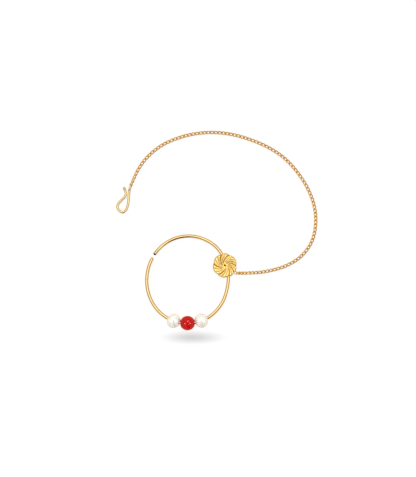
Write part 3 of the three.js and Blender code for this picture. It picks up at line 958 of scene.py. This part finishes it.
def chain_tree(material):
    """Sets the bent link on every point of the route, rolled by its place along it."""
    tree = bpy.data.node_groups.new("curb_chain", "GeometryNodeTree")
    for name, kind, value in (
        ("Geometry", "NodeSocketGeometry", None),
        ("Link", "NodeSocketObject", None),
        ("Links", "NodeSocketInt", 10),
        ("Wire radius", "NodeSocketFloat", 0.0001),
        ("First roll", "NodeSocketFloat", 0.0),
        ("Last roll", "NodeSocketFloat", 0.0),
        ("Roll", "NodeSocketFloat", 0.2),
        ("Roll waves", "NodeSocketFloat", 3.0),
        ("Play", "NodeSocketFloat", 0.05),
    ):
        socket = tree.interface.new_socket(name, in_out="INPUT", socket_type=kind)
        if value is not None:
            socket.default_value = value
    tree.interface.new_socket("Geometry", in_out="OUTPUT", socket_type="NodeSocketGeometry")
    given = add_node(tree, "NodeGroupInput").outputs
    curve = add_node(tree, "GeometryNodeMeshToCurve", links={"Mesh": given["Geometry"]})
    spots = add_node(
        tree, "GeometryNodeResampleCurve",
        links={"Curve": curve.outputs[0], "Count": given["Links"]}, mode="COUNT",
    )
    bend = add_node(tree, "GeometryNodeObjectInfo", links={"Object": given["Link"]})
    loop = add_node(tree, "GeometryNodeMeshToCurve", links={"Mesh": bend.outputs["Geometry"]})
    section = add_node(
        tree, "GeometryNodeCurvePrimitiveCircle",
        {"Resolution": LINK_SIDES}, {"Radius": given["Wire radius"]},
    )
    link = add_node(
        tree, "GeometryNodeCurveToMesh",
        links={"Curve": loop.outputs[0], "Profile Curve": section.outputs[0]},
    )
    place = add_node(tree, "GeometryNodeSplineParameter").outputs["Factor"]
    near_start = add_node(
        tree, "ShaderNodeMapRange",
        {"From Max": FIRST_ROLL_DIES, "To Min": 1.0, "To Max": 0.0}, {"Value": place},
    )
    near_end = add_node(
        tree, "ShaderNodeMapRange", {"From Min": LAST_ROLL_STARTS, "From Max": 1.0}, {"Value": place}
    )
    waves = add_node(
        tree, "ShaderNodeMath", {1: math.pi * 2}, {0: place}, operation="MULTIPLY"
    )
    wave = add_node(
        tree, "ShaderNodeMath", links={0: waves.outputs[0], 1: given["Roll waves"]}, operation="MULTIPLY"
    )
    sine = add_node(tree, "ShaderNodeMath", links={0: wave.outputs[0]}, operation="SINE")
    slow = add_node(
        tree, "ShaderNodeMath", links={0: sine.outputs[0], 1: given["Roll"]}, operation="MULTIPLY"
    )
    started = add_node(
        tree, "ShaderNodeMath",
        links={0: near_start.outputs[0], 1: given["First roll"], 2: slow.outputs[0]},
        operation="MULTIPLY_ADD",
    )
    ended = add_node(
        tree, "ShaderNodeMath",
        links={0: near_end.outputs[0], 1: given["Last roll"], 2: started.outputs[0]},
        operation="MULTIPLY_ADD",
    )
    shake = add_node(
        tree, "FunctionNodeRandomValue", {2: -1.0, 3: 1.0, "Seed": SHAKE_SEED}, data_type="FLOAT"
    )
    roll = add_node(
        tree, "ShaderNodeMath", links={0: shake.outputs[1], 1: given["Play"], 2: ended.outputs[0]},
        operation="MULTIPLY_ADD",
    )
    tangent = add_node(tree, "GeometryNodeInputTangent")
    lie = add_node(
        tree, "FunctionNodeAxesToRotation", {1: (0.0, 0.0, 1.0)}, {0: tangent.outputs[0]},
        primary_axis="X", secondary_axis="Z",
    )
    spin = add_node(
        tree, "FunctionNodeAxisAngleToRotation", {"Axis": (1.0, 0.0, 0.0)}, {"Angle": roll.outputs[0]}
    )
    turned = add_node(
        tree, "FunctionNodeRotateRotation",
        links={0: lie.outputs[0], 1: spin.outputs[0]}, rotation_space="LOCAL",
    )
    placed = add_node(
        tree, "GeometryNodeInstanceOnPoints",
        links={"Points": spots.outputs[0], "Instance": link.outputs[0], "Rotation": turned.outputs[0]},
    )
    real = add_node(tree, "GeometryNodeRealizeInstances", links={0: placed.outputs[0]})
    shaded = add_node(tree, "GeometryNodeSetShadeSmooth", links={"Geometry": real.outputs[0]})
    painted = add_node(
        tree, "GeometryNodeSetMaterial", {"Material": material}, {"Geometry": shaded.outputs[0]}
    )
    add_node(tree, "NodeGroupOutput", links={"Geometry": painted.outputs[0]})
    return tree


def set_input(modifier, name, value):
    """Sets a modifier's input by its socket's identifier."""
    for item in modifier.node_group.interface.items_tree:
        if item.item_type == "SOCKET" and item.in_out == "INPUT" and item.name == name:
            modifier[item.identifier] = value


route_mesh = bpy.data.meshes.new("chain_route")
route_mesh.from_pydata([p * MM for p in chain_curve], [(i, i + 1) for i in range(len(chain_curve) - 1)], [])
route_object = bpy.data.objects.new("chain_route", route_mesh)
bpy.context.collection.objects.link(route_object)
bend_object = link_object()
links = route_object.modifiers.new("links", "NODES")
links.node_group = chain_tree(link_gold)
set_input(links, "Link", bend_object)
set_input(links, "Links", link_count)
set_input(links, "Wire radius", LINK_WIRE / 2 * MM)
set_input(links, "First roll", FIRST_ROLL)
set_input(links, "Last roll", LAST_ROLL)
set_input(links, "Roll", LINK_ROLL)
set_input(links, "Roll waves", ROLL_WAVES)
set_input(links, "Play", LINK_PLAY)
seen = route_object.evaluated_get(bpy.context.evaluated_depsgraph_get())
chain_mesh = bpy.data.meshes.new_from_object(seen)
bpy.data.objects.remove(route_object)
bpy.data.objects.remove(bend_object)
chain = bpy.data.objects.new("chain_links", chain_mesh)
bpy.context.collection.objects.link(chain)
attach(chain, "root")
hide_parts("chain")
print("chain_links", len(chain_mesh.polygons), "faces")

# %% [markdown]
# ## The table and the light
# The ground is a plain white acrylic sheet, lit a little from below as product tables
# are, so that it stays white. The soft shadow lies apart from the beads, as no lamp
# would throw it, so it is laid into the sheet's glow. Polished gold shows only
# what stands round it, so the room is what paints it: a white tent overhead gives each
# wire its bright crest, the flanks look past the sheet at a warm floor, and a dark strip
# of the room leaves the brown streak at the top of the hoop. The flower has a tent of
# its own, and three soft boxes leave three soft spots on the red bead.

# %% Table
SHEET_HALF_WIDTH = 1.5
SHEET_DROP = 0.00001
TABLE_GLOW = 0.86
SHADE_DEPTH = 0.33
SHADE_AT = red_middle + Vector((1.65, -4.4, 0))
SHADE_HALF_WIDTH = 12.3
SHADE_HALF_HEIGHT = 2.6

sheet_mesh = bpy.data.meshes.new("table")
corners = ((-1, -1), (1, -1), (1, 1), (-1, 1))
sheet_points = [(x * SHEET_HALF_WIDTH, y * SHEET_HALF_WIDTH, -SHEET_DROP) for x, y in corners]
sheet_mesh.from_pydata(sheet_points, [], [(0, 1, 2, 3)])
# The acrylic is matt, so it gives light back evenly, and its own glow makes up the rest of the white.
acrylic, acrylic_tree, acrylic_surface = new_material("white_acrylic_sheet", **{
    "Base Color": linear("A0A0A0"), "Roughness": 0.9, "Specular IOR Level": 0.0,
    "Emission Color": linear("FBFDFF"),
})
sheet_place = add_node(acrylic_tree, "ShaderNodeTexCoord")
shade_place = add_node(
    acrylic_tree, "ShaderNodeMapping",
    {
        "Location": (SHADE_AT.x * MM, SHADE_AT.y * MM, 0),
        "Scale": (SHADE_HALF_WIDTH * MM, SHADE_HALF_HEIGHT * MM, 1.0),
    },
    {"Vector": sheet_place.outputs["Object"]}, vector_type="TEXTURE",
)
from_middle = add_node(
    acrylic_tree, "ShaderNodeVectorMath", links={0: shade_place.outputs["Vector"]}, operation="LENGTH"
)
glow = add_node(
    acrylic_tree, "ShaderNodeMapRange",
    {"From Max": 1.0, "To Min": TABLE_GLOW - SHADE_DEPTH, "To Max": TABLE_GLOW},
    {"Value": from_middle.outputs["Value"]}, interpolation_type="SMOOTHSTEP",
)
acrylic_tree.links.new(glow.outputs["Result"], acrylic_surface.inputs["Emission Strength"])
sheet_mesh.materials.append(acrylic)
table = bpy.data.objects.new("table", sheet_mesh)
table.visible_glossy = False
bpy.context.collection.objects.link(table)

# %% Lights
SOFT_BOXES = [
    {"name": "box_top", "azimuth": 90, "off_zenith": 34},
    {"name": "box_left", "azimuth": 187, "off_zenith": 41},
    {"name": "box_right", "azimuth": -14, "off_zenith": 41},
]
SOFT_BOX_SIZE = 0.26
SOFT_BOX_RADIANCE = 16.0


def towards(azimuth, off_zenith):
    """A direction from the jewel. Azimuth 0 is the right of the photo and 90 its top."""
    turn, lean = math.radians(azimuth), math.radians(off_zenith)
    return Vector((math.cos(turn) * math.sin(lean), math.sin(turn) * math.sin(lean), math.cos(lean)))


def soft_box(name, azimuth, off_zenith, size, radiance):
    """A square light a metre from the jewel, as bright as its radiance says."""
    data = bpy.data.lights.new(name, "AREA")
    data.shape = "SQUARE"
    data.size = size
    data.energy = radiance * math.pi * size**2
    lamp = bpy.data.objects.new(name, data)
    away = towards(azimuth, off_zenith)
    lamp.location = aim * MM + away
    lamp.rotation_mode = "QUATERNION"
    lamp.rotation_quaternion = away.to_track_quat("Z", "Y")
    bpy.context.collection.objects.link(lamp)
    return lamp


def light_only(lamp, pieces):
    """Lets a lamp reach only these pieces, as when it is flagged off the others."""
    lit = bpy.data.collections.new("lit by " + lamp.name)
    for piece in pieces:
        lit.objects.link(piece)
    lamp.light_linking.receiver_collection = lit


tent = soft_box("tent", azimuth=100, off_zenith=18, size=0.95, radiance=1.3)
light_only(tent, [hoop_wire, chain_eye, chain, hook_wire, hook_eye])
flower_tent = soft_box("flower_tent", azimuth=-60, off_zenith=8, size=1.3, radiance=1.15)
light_only(flower_tent, [flower])
for box in SOFT_BOXES:
    lamp = soft_box(box["name"], box["azimuth"], box["off_zenith"], SOFT_BOX_SIZE, SOFT_BOX_RADIANCE)
    light_only(lamp, [pearl_left, coral_bead, pearl_right])

# %% The room
ROOM_STRENGTH = 0.6
WARM_FLOOR = (1.4, 1.0, 0.54, 1.0)
PALE_WALLS = (1.0, 0.97, 0.91, 1.0)
DARK_STRIP = (0.07, 0.03, 0.006, 1.0)
DARK_STRIP_AT = -76
# Each pair is how far a direction leans towards an axis where a form begins, and where it is full.
WALLS_RISE = (-0.12, 0.12)
STRIP_OUT = (0.0, 0.14)
STRIP_ASIDE = (0.38, 0.14)
STRIP_UP = (-0.4, -0.05)


def ramp_of(tree, direction, axis, limits):
    """A smooth ramp from 0 to 1 of how far a direction leans towards an axis."""
    lean = add_node(tree, "ShaderNodeVectorMath", {1: axis}, {0: direction}, operation="DOT_PRODUCT")
    ramp = add_node(
        tree, "ShaderNodeMapRange", {"From Min": limits[0], "From Max": limits[1]},
        {"Value": lean.outputs["Value"]}, interpolation_type="SMOOTHSTEP",
    )
    return ramp.outputs["Result"]


def both(tree, first, second):
    """The product of two values: full where both are full."""
    product = add_node(tree, "ShaderNodeMath", links={0: first, 1: second}, operation="MULTIPLY")
    return product.outputs[0]


world = bpy.data.worlds.new("studio")
world.use_nodes = True
room = world.node_tree
view = add_node(room, "ShaderNodeTexCoord").outputs["Generated"]
up = (0, 0, 1)
above = ramp_of(room, view, up, WALLS_RISE)
outward = ramp_of(room, view, towards(DARK_STRIP_AT, 90), STRIP_OUT)
left_edge = ramp_of(room, view, towards(DARK_STRIP_AT + 90, 90), STRIP_ASIDE)
right_edge = ramp_of(room, view, towards(DARK_STRIP_AT - 90, 90), STRIP_ASIDE)
upright = ramp_of(room, view, up, STRIP_UP)
strip = both(room, both(room, both(room, left_edge, right_edge), outward), upright)
walls = add_node(
    room, "ShaderNodeMix", {MIX_FIRST: WARM_FLOOR, MIX_SECOND: PALE_WALLS}, {MIX_SHARE: above},
    data_type="RGBA",
)
seen_room = add_node(
    room, "ShaderNodeMix", {MIX_SECOND: DARK_STRIP},
    {MIX_SHARE: strip, MIX_FIRST: walls.outputs[MIX_RESULT]}, data_type="RGBA",
)
room.nodes["Background"].inputs["Strength"].default_value = ROOM_STRENGTH
room.links.new(seen_room.outputs[MIX_RESULT], room.nodes["Background"].inputs["Color"])
bpy.context.scene.world = world
bpy.context.scene.view_settings.view_transform = "Standard"
